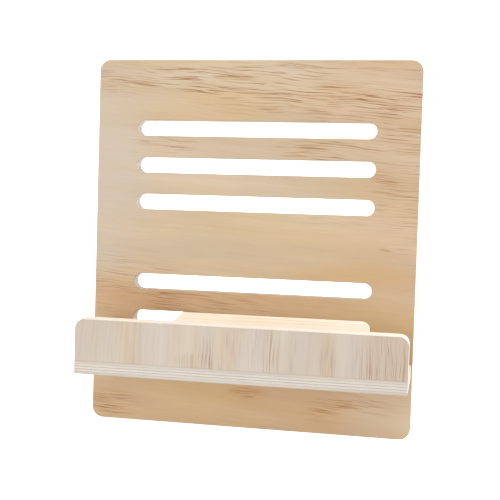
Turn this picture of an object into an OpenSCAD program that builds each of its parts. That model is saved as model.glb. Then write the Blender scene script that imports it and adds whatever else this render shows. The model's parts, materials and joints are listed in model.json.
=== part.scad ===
// Book stand in interlocking plywood. A slotted backboard leans on the tongue of a T-shaped
// shelf, which is plugged through the lowest of six slots and reaches down to the table
// behind it. A lip along the shelf's front edge holds the book. All three boards are
// five-veneer plywood, and each veneer is a piece of its own.
// X runs to the right, Y to the back and Z up; the origin is the middle of the footprint.

/* [Plywood] */
// Thickness of the plywood that all three boards are cut from
ply_t = 10; // [7:0.5:14]

/* [Backboard] */
// Width of the backboard
board_w = 253; // [205:1:320]
// Height of the backboard
board_h = 285; // [245:1:360]
// Radius of the backboard's corners
board_corner_r = 8.5; // [1:0.5:20]

/* [Slots] */
// Length of a slot, from round end to round end
slot_len = 187.5; // [140:0.5:196]
// How much higher a slot is than the plywood is thick
slot_play = 2; // [1.2:0.1:4]
// Height from one slot to the next inside a group of three
slot_pitch = 28.9; // [20:0.1:35]
// Height from the upper group's lowest slot to the lower group's highest slot
slot_group_gap = 63; // [25:0.1:75]

/* [Shelf] */
// Width of the shelf in front of the backboard
shelf_w = 251; // [205:1:320]
// Distance from the backboard's face to the front face of the shelf and lip
shelf_reach = 44.5; // [30:0.5:70]
// Length of the tongue behind the middle of the backboard
tongue_len = 135; // [110:1:180]
// Radius of the tongue's two rear corners
tongue_corner_r = 8; // [1:0.5:20]

/* [Lip] */
// Height of the lip above the shelf
lip_h = 31.5; // [20:0.5:45]
// Radius of the lip's two upper corners
lip_corner_r = 7; // [1:0.5:15]

/* [Fits] */
// Gap left wherever the shelf lies against the slot or the backboard
fit_gap = 0.3; // [0.2:0.05:0.4]

/* [Hidden] */
$fn = 96;

face_colour = [0.83, 0.70, 0.54];
edge_colour = [0.74, 0.63, 0.52];
core_colour = [0.85, 0.79, 0.72];
lip_colour = [0.84, 0.78, 0.72];

veneer_t = ply_t / 5;
slot_h = ply_t + slot_play;
slot_heights = [for (side = [1, -1], n = [0:2])
  board_h / 2 + side * (slot_group_gap / 2 + n * slot_pitch)];
seat_z = board_h / 2 - slot_group_gap / 2 - 2 * slot_pitch;

// The tongue is as wide as the straight part of a slot. It tips in the slot until it lies
// against the lower front edge and the upper rear edge, one fit_gap short of each.
tongue_w = slot_len - slot_h;
slot_clear = slot_h - 2 * fit_gap;
tilt = acos(ply_t / sqrt(pow(slot_clear, 2) + pow(ply_t, 2))) - atan2(ply_t, slot_clear);

// Places along the shelf, measured from the middle of the slot towards the back
shoulder_u = -(ply_t / 2 + fit_gap + ply_t / 2 * sin(tilt)) / cos(tilt);
front_u = -(shelf_reach + ply_t / 2 + ply_t / 2 * sin(tilt)) / cos(tilt);
overcut = ply_t;

// The stand rests on the backboard's lower rear edge and the tongue's lower rear edge
foot_y = ply_t / 2 + tongue_len * cos(tilt) + ply_t / 2 * sin(tilt);
foot_z = seat_z + tongue_len * sin(tilt) - ply_t / 2 * cos(tilt);
lean = atan2(foot_z, foot_y - ply_t);
nose_z = seat_z + front_u * sin(tilt) - ply_t / 2 * cos(tilt);
front_y = -shelf_reach * cos(lean) + nose_z * sin(lean);
back_y = max(ply_t * cos(lean) + board_h * sin(lean),
             foot_y * cos(lean) + foot_z * sin(lean) + ply_t * sin(lean - tilt));

// From the backboard's own upright frame to the stand as it leans on the table
module on_table() {
  translate([0, -(front_y + back_y) / 2, ply_t * sin(lean)])
    rotate([-lean, 0, 0]) children();
}

// From the shelf's frame, with its origin at the middle of the lowest slot
module in_slot() {
  translate([0, ply_t / 2, seat_z]) rotate([tilt, 0, 0]) children();
}

// Everything between two distances behind the backboard's face
module slice(from_y, to_y) {
  span = 4 * (board_w + board_h);
  translate([-span / 2, from_y, -span / 2]) cube([span, to_y - from_y, span]);
}

module rounded_panel(w, h, r) {
  translate([-w / 2, r]) square([w, h - 2 * r]);
  translate([-w / 2 + r, 0]) square([w - 2 * r, h]);
  for (x = [-w / 2 + r, w / 2 - r], y = [r, h - r]) translate([x, y]) circle(r);
}

// A panel with a straight lower edge and two rounded upper corners
module arched_panel(w, h, r) {
  translate([-w / 2, 0]) square([w, h - r]);
  translate([-w / 2 + r, 0]) square([w - 2 * r, h]);
  for (x = [-w / 2 + r, w / 2 - r]) translate([x, h - r]) circle(r);
}

module slot_outline() {
  translate([-(slot_len - slot_h) / 2, -slot_h / 2]) square([slot_len - slot_h, slot_h]);
  for (x = [-1, 1] * (slot_len - slot_h) / 2) translate([x, 0]) circle(slot_h / 2);
}

// Veneer n of the backboard, counted from the front
module board_veneer(n) {
  on_table() translate([0, (n + 1) * veneer_t, 0]) rotate([90, 0, 0])
    linear_extrude(veneer_t) difference() {
      rounded_panel(board_w, board_h, board_corner_r);
      for (z = slot_heights) translate([0, z]) slot_outline();
    }
}

// The T of the shelf, seen from above, with X across and Y towards the tongue's end
module shelf_outline() {
  translate([-shelf_w / 2, front_u - overcut]) square([shelf_w, shoulder_u - front_u + overcut]);
  translate([0, front_u]) arched_panel(tongue_w, tongue_len - front_u, tongue_corner_r);
}

// Veneer n of the shelf, counted from below; its front edge is cut parallel to the backboard
module shelf_veneer(n) {
  on_table() intersection() {
    in_slot() translate([0, 0, -ply_t / 2 + n * veneer_t])
      linear_extrude(veneer_t) shelf_outline();
    slice(-shelf_reach, board_h);
  }
}

// Veneer n of the lip, counted from the front: parallel to the backboard, standing on the
// shelf and topped parallel to it
module lip_veneer(n) {
  on_table() intersection() {
    in_slot() translate([0, front_u + 3 * ply_t, ply_t / 2]) rotate([90, 0, 0])
      linear_extrude(3 * ply_t + lip_h) arched_panel(shelf_w, lip_h, lip_corner_r);
    slice(-shelf_reach + n * veneer_t, -shelf_reach + (n + 1) * veneer_t);
  }
}

module board_front_veneer() { color(face_colour) board_veneer(0); }
module board_front_crossband() { color(edge_colour) board_veneer(1); }
module board_core() { color(core_colour) board_veneer(2); }
module board_rear_crossband() { color(edge_colour) board_veneer(3); }
module board_rear_veneer() { color(face_colour) board_veneer(4); }

module shelf_bottom_veneer() { color(face_colour) shelf_veneer(0); }
module shelf_lower_crossband() { color(edge_colour) shelf_veneer(1); }
module shelf_core() { color(core_colour) shelf_veneer(2); }
module shelf_upper_crossband() { color(edge_colour) shelf_veneer(3); }
module shelf_top_veneer() { color(face_colour) shelf_veneer(4); }

module lip_front_veneer() { color(lip_colour) lip_veneer(0); }
module lip_front_crossband() { color(edge_colour) lip_veneer(1); }
module lip_core() { color(core_colour) lip_veneer(2); }
module lip_rear_crossband() { color(edge_colour) lip_veneer(3); }
module lip_rear_veneer() { color(lip_colour) lip_veneer(4); }

board_front_veneer();
board_front_crossband();
board_core();
board_rear_crossband();
board_rear_veneer();
shelf_bottom_veneer();
shelf_lower_crossband();
shelf_core();
shelf_upper_crossband();
shelf_top_veneer();
lip_front_veneer();
lip_front_crossband();
lip_core();
lip_rear_crossband();
lip_rear_veneer();
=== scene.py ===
import json
import math

import bmesh
import bpy
from mathutils import Color, Matrix, Vector


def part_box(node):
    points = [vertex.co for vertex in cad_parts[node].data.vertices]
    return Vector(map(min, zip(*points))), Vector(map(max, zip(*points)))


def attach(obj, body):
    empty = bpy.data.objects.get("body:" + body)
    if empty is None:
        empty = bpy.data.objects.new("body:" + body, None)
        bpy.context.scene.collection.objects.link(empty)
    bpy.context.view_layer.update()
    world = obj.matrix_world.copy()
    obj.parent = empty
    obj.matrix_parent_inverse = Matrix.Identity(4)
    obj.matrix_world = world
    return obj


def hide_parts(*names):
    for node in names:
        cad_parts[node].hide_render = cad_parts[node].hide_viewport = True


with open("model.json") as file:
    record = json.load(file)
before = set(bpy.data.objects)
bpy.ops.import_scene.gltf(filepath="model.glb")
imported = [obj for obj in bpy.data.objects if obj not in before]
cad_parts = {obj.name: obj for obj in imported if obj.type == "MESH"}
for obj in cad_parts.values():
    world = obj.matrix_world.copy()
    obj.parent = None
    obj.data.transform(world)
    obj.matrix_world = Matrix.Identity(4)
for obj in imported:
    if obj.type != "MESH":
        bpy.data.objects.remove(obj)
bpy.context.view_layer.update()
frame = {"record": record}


# Backboard, outer veneers. The backboard is one sheet of five-veneer plywood with six slots
# routed through it. Its front and rear veneers are pine with the grain running across the
# board. The edges are rounded over by sanding, and the faces have a thin matt lacquer.

ply_thickness = 0.010
veneers = 5
veneer_thickness = ply_thickness / veneers
board_height = 0.285
board_corner = 0.0085
slot_length = 0.1875
slot_height = 0.012
rounding = 0.0004
rounding_steps = 3
corner_steps = 14
rim_width = 0.0008
glue_line = 0.0003
same_way = 0.999
crease_angle = math.radians(35)


def on_face(mount):
    """The frame of a flat face at a mount: X to the right, Y along the face and Z out of it."""
    right = Vector((1, 0, 0))
    out = Vector(mount["axis"]).normalized()
    axes = Matrix((right, out.cross(right), out)).transposed().to_4x4()
    return Matrix.Translation(mount["pos_m"]) @ axes


mounts = {mount["name"]: mount for mount in frame["record"]["mounts"]}
board_place = on_face(mounts["backboard_face"]) @ Matrix.Translation((0, -board_height / 2, 0))
board_low, board_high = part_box("board_front_veneer")
board_width = board_high.x - board_low.x


def height_on_board(box):
    """How far up the board the middle of an opening is, measured halfway through the plywood."""
    foot = board_place @ Vector((0, 0, -ply_thickness / 2))
    return ((box[0][2] + box[1][2]) / 2 - foot.z) / board_place.col[1].z


open_slots = [
    height_on_board(opening["box_m"])
    for opening in frame["record"]["physics"]["openings"]
    if opening["name"].startswith("slot")
]
shelf_slot = board_height - max(open_slots)


def rectangle(bm, width, height, middle):
    """A flat face in the XY plane. Gives its corners."""
    place = Matrix.Translation((*middle, 0)) @ Matrix.Diagonal((width, height, 1, 1))
    return bmesh.ops.create_grid(bm, x_segments=1, y_segments=1, size=0.5, matrix=place)["verts"]


def round_corners(bm, corners, radius):
    """Rounds the corners of a flat face."""
    bmesh.ops.bevel(
        bm, geom=corners, affect="VERTICES", offset_type="OFFSET", offset=radius,
        segments=corner_steps, profile=0.5, material=-1,
    )


def fill_outlines(bm):
    """Turns the outlines into one flat face, with holes where an outline lies inside another."""
    bmesh.ops.delete(bm, geom=bm.faces[:], context="FACES_ONLY")
    bmesh.ops.remove_doubles(bm, verts=bm.verts[:], dist=1e-6)
    bmesh.ops.triangle_fill(bm, edges=bm.edges[:], use_beauty=True, normal=(0, 0, 1))


def thicken(bm, direction, low, high):
    """Makes a flat sheet into a solid that reaches from low to high along a direction."""
    bmesh.ops.translate(bm, verts=bm.verts[:], vec=direction * low)
    made = bmesh.ops.extrude_face_region(bm, geom=bm.faces[:])["geom"]
    moved = [part for part in made if isinstance(part, bmesh.types.BMVert)]
    bmesh.ops.translate(bm, verts=moved, vec=direction * (high - low))
    bmesh.ops.recalc_face_normals(bm, faces=bm.faces[:])


def round_over(bm, outward, glued=None):
    """Sands the edges round the side that faces outward, but not where it meets a glued face."""
    rim = bm.verts.layers.float.new("rim")
    side = [face for face in bm.faces if face.normal.dot(outward) > same_way]
    ring = bmesh.ops.inset_region(bm, faces=side, thickness=rim_width, use_even_offset=True)
    side = {*side, *ring["faces"]}
    edges = [
        edge for edge in bm.edges
        if len(side.intersection(edge.link_faces)) == 1
        and not (glued and any(face.normal.dot(glued) > same_way for face in edge.link_faces))
    ]
    made = bmesh.ops.bevel(
        bm, geom=edges, affect="EDGES", offset_type="OFFSET", offset=rounding,
        segments=rounding_steps, profile=0.5, material=-1,
    )
    for vertex in made["verts"]:
        vertex[rim] = 1.0


def make_piece(bm, node, body, place, material):
    """Puts a finished mesh in its place, as the piece that stands for a CAD node."""
    bmesh.ops.transform(bm, matrix=place, verts=bm.verts[:])
    for face in bm.faces:
        face.smooth = True
    mesh = bpy.data.meshes.new(node + "_finished")
    bm.to_mesh(mesh)
    bm.free()
    mesh.set_sharp_from_angle(angle=crease_angle)
    mesh.materials.append(material)
    piece = bpy.data.objects.new(node + "_finished", mesh)
    bpy.context.scene.collection.objects.link(piece)
    piece.modifiers.new("even shading", "WEIGHTED_NORMAL").keep_sharp = True
    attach(piece, body)
    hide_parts(node)


def board_veneer(n):
    """Veneer n of the backboard, counted from the front."""
    bm = bmesh.new()
    corners = rectangle(bm, board_width, board_height, (0, board_height / 2))
    round_corners(bm, corners, board_corner)
    for height in (*open_slots, shelf_slot):
        round_corners(bm, rectangle(bm, slot_length, slot_height, (0, height)), slot_height / 2)
    fill_outlines(bm)
    out = Vector((0, 0, 1))
    thicken(bm, out, -(n + 1) * veneer_thickness, -n * veneer_thickness)
    if n == 0:
        round_over(bm, out)
    if n == veneers - 1:
        round_over(bm, -out)
    return bm


def colour(red, green, blue):
    """A finish given as it looks on a screen, from 0 to 255."""
    seen = Color((red / 255, green / 255, blue / 255))
    return (*seen.from_srgb_to_scene_linear(), 1.0)


def add(tree, kind, inputs, **settings):
    """Adds a shader node, and gives each input a value or another node's output."""
    made = tree.nodes.new("ShaderNode" + kind)
    for name, value in settings.items():
        setattr(made, name, value)
    for name, value in inputs.items():
        if isinstance(value, bpy.types.NodeSocket):
            tree.links.new(value, made.inputs[name])
        else:
            made.inputs[name].default_value = value
    return made


def calc(tree, operation, a, b=0.0, clamp=False):
    """One sum with two numbers."""
    return add(tree, "Math", {0: a, 1: b}, operation=operation, use_clamp=clamp).outputs[0]


def ease(tree, value, low, high, to_low=0.0, to_high=1.0):
    """A smooth step from one number to another while the value goes from low to high."""
    inputs = {0: value, 1: low, 2: high, 3: to_low, 4: to_high}
    return add(tree, "MapRange", inputs, interpolation_type="SMOOTHSTEP").outputs[0]


def blend(tree, factor, a, b, how="MIX"):
    """Mixes two colours."""
    return add(tree, "Mix", {0: factor, 6: a, 7: b}, data_type="RGBA", blend_type=how).outputs[2]


def spots(tree, position, per_metre, detail=1.0, roughness=0.5):
    """Noise with that many spots to the metre along each axis."""
    scaled = add(tree, "VectorMath", {0: position, 1: per_metre}, operation="MULTIPLY")
    inputs = {"Vector": scaled.outputs[0], "Scale": 1.0, "Detail": detail, "Roughness": roughness}
    return add(tree, "TexNoise", inputs).outputs[0]


def new_group(name, inputs, outputs):
    """An empty shader node group, with what it is given and what it gives back."""
    group = bpy.data.node_groups.new(name, "ShaderNodeTree")
    for socket, kind in inputs.items():
        group.interface.new_socket(name=socket, in_out="INPUT", socket_type="NodeSocket" + kind)
    for socket, kind in outputs.items():
        group.interface.new_socket(name=socket, in_out="OUTPUT", socket_type="NodeSocket" + kind)
    given = group.nodes.new("NodeGroupInput").outputs
    return group, given, group.nodes.new("NodeGroupOutput").inputs


honey_cast = colour(255, 252, 241)
sawn_edge = colour(229, 222, 214)
sawn_share = 0.6
glue_colour = colour(158, 132, 108)
fibre_contrast = 0.14
lacquer_roughness = 0.42


def make_grain_group():
    """Wood grain that runs along X: soft bands, fine fibre, long lines and thin dark dashes."""
    group, given, result = new_group(
        "wood grain",
        {"Position": "Vector", "Pale": "Color", "Deep": "Color", "Line": "Color",
         "Lines": "Float", "Dashes": "Float", "End Grain": "Float", "Sawn": "Float",
         "Glue": "Float", "Rim": "Float"},
        {"Color": "Color", "Roughness": "Float", "Height": "Float"},
    )
    sway = calc(group, "MULTIPLY", spots(group, given["Position"], (16, 14, 14), 2), 0.007)
    sideways = add(group, "CombineXYZ", {"Y": sway}).outputs[0]
    position = add(group, "VectorMath", {0: given["Position"], 1: sideways}).outputs[0]
    tone = ease(group, spots(group, position, (5, 30, 30), 3), 0.36, 0.64)
    bands = ease(group, spots(group, position, (5, 210, 210), 2), 0.38, 0.66, 0.0, 0.35)
    fibre = spots(group, position, (70, 2400, 2400), 2)
    lines = ease(group, spots(group, position, (14, 480, 480), 2), 0.52, 0.68)
    clusters = ease(group, spots(group, position, (12, 80, 80), 2), 0.32, 0.54)
    short = ease(group, spots(group, position, (26, 1450, 1450)), 0.56, 0.64, 0.0, 0.9)
    middling = calc(group, "SUBTRACT", spots(group, position, (7, 480, 480), 0), 0.5)
    threads = ease(group, calc(group, "ABSOLUTE", middling), 0.02, 0.05, 1.0, 0.0)
    broken = ease(group, spots(group, position, (40, 700, 700)), 0.48, 0.58)
    threads = calc(group, "MULTIPLY", threads, broken)
    dashes = calc(group, "MULTIPLY", calc(group, "MAXIMUM", short, threads), clusters)
    dark = calc(
        group, "ADD", calc(group, "MULTIPLY", lines, given["Lines"]),
        calc(group, "MULTIPLY", dashes, given["Dashes"]), clamp=True,
    )
    wood = blend(group, tone, given["Pale"], given["Deep"])
    wood = blend(group, bands, wood, given["Deep"])
    honeyed = ease(group, spots(group, position, (8, 45, 45), 2), 0.42, 0.62, 0.0, 0.8)
    wood = blend(group, honeyed, wood, honey_cast, "MULTIPLY")
    wood = blend(group, dark, wood, given["Line"])
    wood = blend(group, calc(group, "MULTIPLY", given["Sawn"], sawn_share), wood, sawn_edge)
    uneven = ease(group, spots(group, position, (60, 60, 60)), 0.3, 0.7, 0.6, 1.0)
    wood = blend(group, calc(group, "MULTIPLY", given["Glue"], uneven), wood, glue_colour)
    pores = ease(group, spots(group, position, (300, 1500, 1500)), 0.45, 0.75, 0.99, 0.88)
    across = add(group, "Mix", {0: given["End Grain"], 2: 1.0, 3: pores}).outputs[0]
    streaks = calc(group, "MULTIPLY", fibre, fibre_contrast)
    streaky = calc(group, "ADD", streaks, 1.0 - fibre_contrast / 2)
    # The rounded edges are made a tenth darker: partly edge wear, partly painted shade on the arrises
    # that tones down their highlight.
    rim_wear_and_shade = ease(group, given["Rim"], 0.0, 1.0, 1.0, 0.9)
    shade = calc(group, "MULTIPLY", calc(group, "MULTIPLY", across, streaky), rim_wear_and_shade)
    group.links.new(blend(group, 1.0, wood, shade, "MULTIPLY"), result["Color"])
    matt = calc(group, "ADD", streaks, lacquer_roughness)
    matt = calc(group, "ADD", matt, calc(group, "MULTIPLY", dark, 0.15))
    group.links.new(matt, result["Roughness"])
    relief = calc(group, "SUBTRACT", calc(group, "MULTIPLY", fibre, 0.5), dark)
    group.links.new(relief, result["Height"])
    return group


grain_group = make_grain_group()


def facing(tree, normal, direction):
    """How squarely a surface faces along a direction, either way: 0 to 1."""
    turned = add(tree, "VectorMath", {0: normal, 1: direction}, operation="DOT_PRODUCT")
    return calc(tree, "ABSOLUTE", turned.outputs["Value"])


def lacquered_wood(name, place, turn, shift, colours, lines=0.0, dashes=0.0, glue=0.0, offset=0.0):
    """Wood whose grain is turned from a board's X axis, taken from its own stretch of the log.

    Its colours are the pale wood, the deep wood and the dark lines. The lines, the dashes and
    the glue that shows on the edges each have a strength from 0 to 1, and the offset moves the
    glue through the board. Gives the material, its position on the board and its grain."""
    material = bpy.data.materials.new(name)
    material.use_nodes = True
    tree = material.node_tree
    shader = tree.nodes["Principled BSDF"]
    source = add(tree, "TexCoord", {}).outputs
    placed = {"Vector": source["Object"], "Location": place.to_translation(),
              "Rotation": place.to_euler()}
    position = add(tree, "Mapping", placed, vector_type="TEXTURE").outputs[0]
    turned = {"Vector": position, "Location": shift, "Rotation": (0, 0, turn)}
    log = add(tree, "Mapping", turned, vector_type="TEXTURE").outputs[0]
    grain_line = place.to_3x3() @ Vector((math.cos(turn), math.sin(turn), 0))
    end_grain = ease(tree, facing(tree, source["Normal"], grain_line), 0.75, 0.95)
    deep_in = add(tree, "SeparateXYZ", {0: position}).outputs["Z"]
    border = calc(tree, "PINGPONG", calc(tree, "ADD", deep_in, offset), veneer_thickness / 2)
    near_glue = ease(tree, border, glue_line / 2, glue_line, glue, 0.0)
    edge = ease(tree, facing(tree, source["Normal"], place.col[2].to_3d()), 0.3, 0.6, 1.0, 0.0)
    rim = add(tree, "Attribute", {}, attribute_name="rim").outputs["Fac"]
    grain = add(tree, "Group", {}, node_tree=grain_group)
    values = {"Position": log, "Pale": colours[0], "Deep": colours[1], "Line": colours[2],
              "Lines": lines, "Dashes": dashes, "End Grain": end_grain, "Sawn": edge,
              "Glue": calc(tree, "MULTIPLY", near_glue, edge), "Rim": rim}
    for socket, value in values.items():
        if isinstance(value, bpy.types.NodeSocket):
            tree.links.new(value, grain.inputs[socket])
        else:
            grain.inputs[socket].default_value = value
    tree.links.new(grain.outputs["Color"], shader.inputs["Base Color"])
    tree.links.new(grain.outputs["Roughness"], shader.inputs["Roughness"])
    bump = add(tree, "Bump", {"Height": grain.outputs["Height"], "Distance": 0.0001, "Strength": 0.5})
    tree.links.new(bump.outputs[0], shader.inputs["Normal"])
    shader.inputs["Coat Weight"].default_value = 0.12
    shader.inputs["Coat Roughness"].default_value = 0.35
    return material, position, grain


def make_patch_group():
    """A soft-edged oval patch: 1 in its middle and 0 outside."""
    group, given, result = new_group(
        "soft patch",
        {"Position": "Vector", "Middle": "Vector", "Reach": "Vector"}, {"Mask": "Float"},
    )
    away = add(group, "VectorMath", {0: given["Position"], 1: given["Middle"]}, operation="SUBTRACT")
    share = add(group, "VectorMath", {0: away.outputs[0], 1: given["Reach"]}, operation="DIVIDE")
    far = add(group, "VectorMath", {0: share.outputs[0]}, operation="LENGTH").outputs["Value"]
    group.links.new(ease(group, far, 0.35, 1.0, 1.0, 0.0), result["Mask"])
    return group


patch_group = make_patch_group()


def patches(tree, position, places):
    """The mask of several patches, each with its middle on a board's face, reach and strength."""
    total = 0.0
    for middle, reach, strength in places:
        made = add(tree, "Group", {}, node_tree=patch_group)
        tree.links.new(position, made.inputs["Position"])
        made.inputs["Middle"].default_value = (*middle, 0)
        made.inputs["Reach"].default_value = (*reach, 1)
        total = calc(tree, "ADD", calc(tree, "MULTIPLY", made.outputs["Mask"], strength), total)
    return total


pine = (colour(221, 199, 171), colour(209, 184, 153), colour(170, 118, 72))
near_heart = (colour(220, 190, 151), colour(210, 174, 133), colour(174, 116, 70))
sapwood = colour(211, 195, 175)
# The heartwood colour also serves as painted shade on the right side of the board's front.
heartwood_and_shade = colour(214, 164, 112)
honey = colour(222, 190, 136)
across_board = math.radians(-4)

front_wood, front_position, front_grain = lacquered_wood(
    "pine, backboard front", board_place, across_board, (0.3, 0.1, 0.0), pine, lines=0.06, glue=0.3
)
tree = front_wood.node_tree
up_board = add(tree, "SeparateXYZ", {0: front_position}).outputs["Y"]
lower_half = ease(tree, up_board, 0.098, 0.136, 1.0, 0.0)
sap = patches(tree, front_position, (
    ((-0.130, 0.190), (0.060, 0.110), 0.8),
    ((0.110, 0.018), (0.050, 0.035), 0.4),
))
# Heartwood patches. The last two, on the right of the board, are heartwood tone with painted shade
# mixed in, darkening the board's right side.
heart_and_shade_mask = patches(tree, front_position, (
    ((-0.010, 0.096), (0.130, 0.018), 0.25),
    ((-0.100, 0.100), (0.060, 0.030), 0.12),
    ((0.000, 0.028), (0.022, 0.007), 0.5),
    ((0.080, 0.124), (0.060, 0.014), 0.2),
    ((0.100, 0.250), (0.080, 0.060), 0.2),
    ((0.110, 0.165), (0.060, 0.060), 0.15),
))
golden = patches(tree, front_position, (
    ((-0.030, 0.247), (0.070, 0.022), 0.35),
    ((0.040, 0.150), (0.110, 0.032), 0.25),
    ((0.080, 0.122), (0.060, 0.014), 0.35),
    ((0.095, 0.085), (0.050, 0.022), 0.40),
    ((-0.045, 0.024), (0.055, 0.020), 0.45),
))
dark_figure = patches(tree, front_position, (
    ((0.060, 0.262), (0.150, 0.032), 1.0),
    ((-0.070, 0.270), (0.110, 0.020), 0.8),
    ((0.118, 0.205), (0.036, 0.075), 0.8),
    ((0.055, 0.218), (0.055, 0.014), 1.0),
    ((-0.070, 0.218), (0.040, 0.010), 0.8),
    ((0.065, 0.163), (0.035, 0.006), 0.6),
    ((0.110, 0.143), (0.016, 0.005), 0.8),
    ((-0.100, 0.105), (0.070, 0.038), 0.55),
    ((-0.040, 0.096), (0.090, 0.016), 0.6),
    ((-0.110, 0.012), (0.030, 0.014), 1.0),
    ((0.080, 0.018), (0.045, 0.020), 0.8),
    ((0.000, 0.028), (0.018, 0.006), 0.8),
))
for socket, upper, lower in zip(("Pale", "Deep", "Line"), pine, near_heart):
    wood = blend(tree, lower_half, upper, lower)
    if socket != "Line":
        wood = blend(tree, golden, blend(tree, sap, wood, sapwood), honey)
        wood = blend(tree, heart_and_shade_mask, wood, heartwood_and_shade)
    tree.links.new(wood, front_grain.inputs[socket])
tree.links.new(dark_figure, front_grain.inputs["Dashes"])
rear_wood, _, _ = lacquered_wood(
    "pine, backboard rear", board_place, across_board, (-0.4, 0.6, 0.2), pine,
    lines=0.1, dashes=0.5, glue=0.3,
)
for n, node, wood in ((0, "board_front_veneer", front_wood), (4, "board_rear_veneer", rear_wood)):
    make_piece(board_veneer(n), node, "backboard", board_place, wood)


# Backboard, inner veneers. The two crossbands run up the board, so their end grain shows
# along its upper and lower edges, and the core runs across it as the faces do.

upright = math.radians(90)
band = (colour(227, 217, 205), colour(215, 203, 190), colour(180, 163, 146))
core = (colour(230, 221, 210), colour(222, 210, 196), colour(190, 172, 152))

board_band, _, _ = lacquered_wood(
    "crossband, backboard", board_place, upright, (0.7, -0.2, 0.0), band,
    lines=0.2, dashes=0.2, glue=0.3,
)
board_core, _, _ = lacquered_wood(
    "core, backboard", board_place, 0.0, (-0.6, -0.5, 0.0), core,
    lines=0.2, dashes=0.2, glue=0.3,
)
for n, node, slot, wood in (
    (1, "board_front_crossband", "crossband", board_band),
    (2, "board_core", "core", board_core),
    (3, "board_rear_crossband", "crossband", board_band),
):
    make_piece(board_veneer(n), node, "backboard", board_place, wood)


# Shelf. A T of the same plywood, whose head lies in front of the backboard and whose tongue
# goes through the lowest slot and down to the table behind. Its front edge is planed
# parallel to the backboard, flush with the lip that is glued on top of it.

shelf_reach = 0.0445
tongue_length = 0.135
tongue_corner = 0.008
tongue_width = slot_length - slot_height
fit_gap = 0.0003
overcut = 0.010
half_ply = ply_thickness / 2
shelf_offset = half_ply % veneer_thickness
shelf_low, shelf_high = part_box("shelf_core")
shelf_width = shelf_high.x - shelf_low.x
shelf_place = on_face(mounts["shelf_top"])
shelf_place.translation = board_place @ Vector((0, shelf_slot, -half_ply))
board_out = shelf_place.to_3x3().inverted() @ board_place.col[2].to_3d()
shoulder = (half_ply + fit_gap + half_ply * board_out.z) / board_out.y
front = (shelf_reach + half_ply + half_ply * board_out.z) / board_out.y


def cut_off(bm, reach, outward=1):
    """Saws parallel to the backboard at a distance in front of it, and closes the cut."""
    on_plane = shelf_place.inverted() @ (board_place @ Vector((0, 0, reach)))
    geometry = [*bm.verts, *bm.edges, *bm.faces]
    cut = bmesh.ops.bisect_plane(
        bm, geom=geometry, dist=1e-7, plane_co=on_plane, plane_no=board_out * outward,
        clear_outer=True,
    )["geom_cut"]
    edges = [part for part in cut if isinstance(part, bmesh.types.BMEdge)]
    bmesh.ops.edgeloop_fill(bm, edges=edges)
    bmesh.ops.recalc_face_normals(bm, faces=bm.faces[:])


def shelf_veneer(n):
    """Veneer n of the shelf, counted from below, with Y towards the end of the tongue."""
    bm = bmesh.new()
    depth = shoulder - front + overcut
    rectangle(bm, shelf_width, depth, (0, shoulder - depth / 2))
    for side in (-1, 1):
        geometry = [*bm.verts, *bm.edges, *bm.faces]
        neck = Vector((side * tongue_width / 2, 0, 0))
        bmesh.ops.bisect_plane(bm, geom=geometry, plane_co=neck, plane_no=(1, 0, 0))
    reach = tongue_width / 2 + fit_gap
    root = [
        edge for edge in bm.edges
        if all(abs(end.co.x) < reach and end.co.y > shoulder - fit_gap for end in edge.verts)
    ]
    made = bmesh.ops.extrude_edge_only(bm, edges=root)["geom"]
    tip = [part for part in made if isinstance(part, bmesh.types.BMVert)]
    bmesh.ops.translate(bm, verts=tip, vec=(0, tongue_length - shoulder, 0))
    round_corners(bm, tip, tongue_corner)
    low = n * veneer_thickness - half_ply
    thicken(bm, Vector((0, 0, 1)), low, low + veneer_thickness)
    cut_off(bm, shelf_reach)
    if n == 0:
        round_over(bm, Vector((0, 0, -1)))
    if n == veneers - 1:
        round_over(bm, Vector((0, 0, 1)), glued=board_out)
    return bm


birch = (colour(217, 204, 186), colour(209, 194, 173), colour(182, 152, 122))
shelf_top_wood, _, _ = lacquered_wood(
    "pale veneer, shelf", shelf_place, 0.0, (0.2, 0.9, 0.0), birch,
    lines=0.5, dashes=0.2, glue=0.4, offset=shelf_offset,
)
shelf_band, _, _ = lacquered_wood(
    "crossband, shelf", shelf_place, upright, (0.1, -0.8, 0.0), band,
    lines=0.2, dashes=0.15, glue=0.45, offset=shelf_offset,
)
shelf_core, _, _ = lacquered_wood(
    "core, shelf", shelf_place, 0.0, (-0.6, 0.5, 0.0), core,
    lines=0.2, dashes=0.15, glue=1.0, offset=shelf_offset,
)
for n, node, slot, wood in (
    (0, "shelf_bottom_veneer", "shelf_face", shelf_top_wood),
    (1, "shelf_lower_crossband", "crossband", shelf_band),
    (2, "shelf_core", "core", shelf_core),
    (3, "shelf_upper_crossband", "crossband", shelf_band),
    (4, "shelf_top_veneer", "shelf_face", shelf_top_wood),
):
    make_piece(shelf_veneer(n), node, "ledge", shelf_place, wood)


# Lip. A strip of the same plywood glued along the shelf's front edge, which keeps the book
# from sliding off. It is parallel to the backboard and planed on top parallel to the shelf,
# and the grain of its faces is upright.

lip_height = 0.0315
lip_corner = 0.007
lip_place = board_place @ Matrix.Translation((0, 0, shelf_reach))
lip_place.translation = shelf_place @ Vector((0, front, half_ply))
lip_offset = ply_thickness * board_out.z


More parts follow.
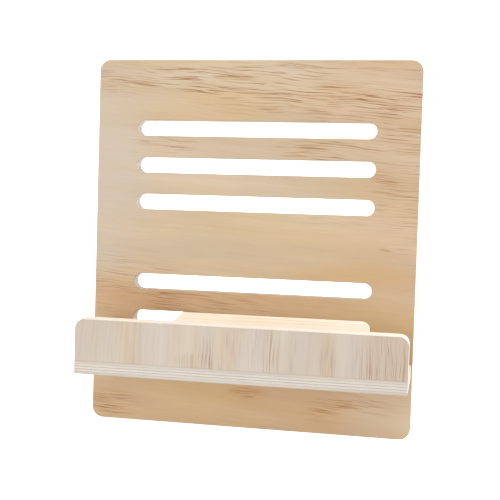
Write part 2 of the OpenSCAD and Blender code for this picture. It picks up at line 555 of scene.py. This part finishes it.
def lip_veneer(n):
    """Veneer n of the lip, counted from the front."""
    bm = bmesh.new()
    middle = (0, (lip_height - lip_corner) / 2)
    round_corners(bm, rectangle(bm, shelf_width, lip_height + lip_corner, middle), lip_corner)
    geometry = [*bm.verts, *bm.edges, *bm.faces]
    bmesh.ops.bisect_plane(
        bm, geom=geometry, dist=1e-7, plane_co=(0, 0, 0), plane_no=(0, -1, 0), clear_outer=True
    )
    stand = Matrix.Translation((0, front, half_ply)) @ Matrix.Rotation(upright, 4, "X")
    bmesh.ops.transform(bm, matrix=stand, verts=bm.verts[:])
    thicken(bm, Vector((0, 1, 0)), -ply_thickness, 2 * ply_thickness)
    cut_off(bm, shelf_reach - n * veneer_thickness)
    cut_off(bm, shelf_reach - (n + 1) * veneer_thickness, outward=-1)
    foot = Vector((0, 0, -1))
    if n == 0:
        round_over(bm, board_out, glued=foot)
    if n == veneers - 1:
        round_over(bm, -board_out, glued=foot)
    return bm


lip_birch = (colour(219, 207, 194), colour(210, 195, 180), colour(178, 145, 124))
lip_warm = colour(206, 178, 152)
lip_wood, lip_position, lip_grain = lacquered_wood(
    "pale veneer, lip", lip_place, upright, (0.5, 0.3, 0.0), lip_birch,
    lines=0.12, glue=0.1, offset=lip_offset,
)
tree = lip_wood.node_tree
lip_figure = patches(tree, lip_position, (
    ((-0.080, 0.016), (0.012, 0.040), 0.5),
    ((-0.054, 0.010), (0.006, 0.030), 0.5),
    ((-0.030, 0.004), (0.022, 0.010), 0.8),
    ((-0.012, 0.012), (0.020, 0.024), 0.8),
    ((0.016, 0.014), (0.022, 0.030), 0.9),
    ((0.044, 0.016), (0.006, 0.030), 0.6),
    ((0.068, 0.008), (0.008, 0.030), 0.6),
    ((0.108, 0.010), (0.028, 0.028), 0.9),
))
tree.links.new(lip_figure, lip_grain.inputs["Dashes"])
lip_warmth = patches(tree, lip_position, (
    ((-0.080, 0.016), (0.010, 0.060), 0.3),
    ((-0.006, 0.016), (0.010, 0.060), 0.3),
    ((0.068, 0.010), (0.007, 0.040), 0.3),
    ((0.118, 0.016), (0.030, 0.060), 0.3),
))
for socket, wood in zip(("Pale", "Deep"), lip_birch):
    tree.links.new(blend(tree, lip_warmth, wood, lip_warm), lip_grain.inputs[socket])
lip_band, _, _ = lacquered_wood(
    "crossband, lip", lip_place, 0.0, (0.1, -0.8, 0.0), band,
    lines=0.15, dashes=0.1, glue=0.1, offset=lip_offset,
)
lip_core, _, _ = lacquered_wood(
    "core, lip", lip_place, upright, (-0.6, 0.5, 0.0), core,
    lines=0.15, dashes=0.1, glue=0.1, offset=lip_offset,
)
for n, node, slot, wood in (
    (0, "lip_front_veneer", "lip_face", lip_wood),
    (1, "lip_front_crossband", "crossband", lip_band),
    (2, "lip_core", "core", lip_core),
    (3, "lip_rear_crossband", "crossband", lip_band),
    (4, "lip_rear_veneer", "lip_face", lip_wood),
):
    make_piece(lip_veneer(n), node, "ledge", shelf_place, wood)


# Studio. A plain white floor and even white surroundings, with a wide soft lamp overhead and a
# little behind, a larger one in front on the left and a small one on the right. The camera
# stands a little right of the middle and looks down.

bpy.context.scene.view_settings.view_transform = "Standard"
world = bpy.data.worlds.new("white room")
bpy.context.scene.world = world
world.use_nodes = True
room = world.node_tree
room.nodes["Background"].inputs["Color"].default_value = (1, 1, 1, 1)
seen = add(room, "LightPath", {}).outputs["Is Camera Ray"]
room_light = 0.48
backdrop_light = 1.1
strength = ease(room, seen, 0.0, 1.0, room_light, backdrop_light)
room.links.new(strength, room.nodes["Background"].inputs["Strength"])

floor_reach = 3.0
bm = bmesh.new()
bmesh.ops.create_grid(bm, x_segments=1, y_segments=1, size=floor_reach)
floor_mesh = bpy.data.meshes.new("floor")
bm.to_mesh(floor_mesh)
bm.free()
floor = bpy.data.objects.new("floor", floor_mesh)
bpy.context.scene.collection.objects.link(floor)
paint = bpy.data.materials.new("white floor")
paint.use_nodes = True
tree = paint.node_tree
shader = tree.nodes["Principled BSDF"]
shader.inputs["Base Color"].default_value = (0.8, 0.8, 0.8, 1)
shader.inputs["Roughness"].default_value = 0.9
shader.inputs["Emission Color"].default_value = (1, 1, 1, 1)
seen = add(tree, "LightPath", {}).outputs["Is Camera Ray"]
tree.links.new(seen, shader.inputs["Emission Strength"])
floor_mesh.materials.append(paint)


stand_middle = Vector((0, 0, 0.12))


def soft_lamp(name, place, size, watts):
    """A square soft lamp that faces the middle of the stand."""
    lamp = bpy.data.lights.new(name, "AREA")
    lamp.size = size
    lamp.energy = watts
    made = bpy.data.objects.new(name, lamp)
    made.location = place
    made.rotation_euler = (stand_middle - Vector(place)).to_track_quat("-Z", "Y").to_euler()
    bpy.context.scene.collection.objects.link(made)


soft_lamp("overhead lamp", (0.25, 0.7, 1.5), size=1.0, watts=28.0)
soft_lamp("front lamp", (-0.7, -1.5, 0.9), size=2.0, watts=13.8)
soft_lamp("side lamp", (1.3, 0.15, 0.5), size=0.8, watts=8.0)

camera_place = (0.1581, -0.6664, 0.5043)
camera_turn = (60.984, 3.805, 11.415)
camera_lens = 72.31
camera = bpy.data.objects.new("camera", bpy.data.cameras.new("camera"))
bpy.context.scene.collection.objects.link(camera)
camera.location = camera_place
camera.rotation_euler = [math.radians(turn) for turn in camera_turn]
camera.data.lens = camera_lens
camera.data.sensor_width = 36.0
camera.data.clip_start = 0.01
bpy.context.scene.camera = camera
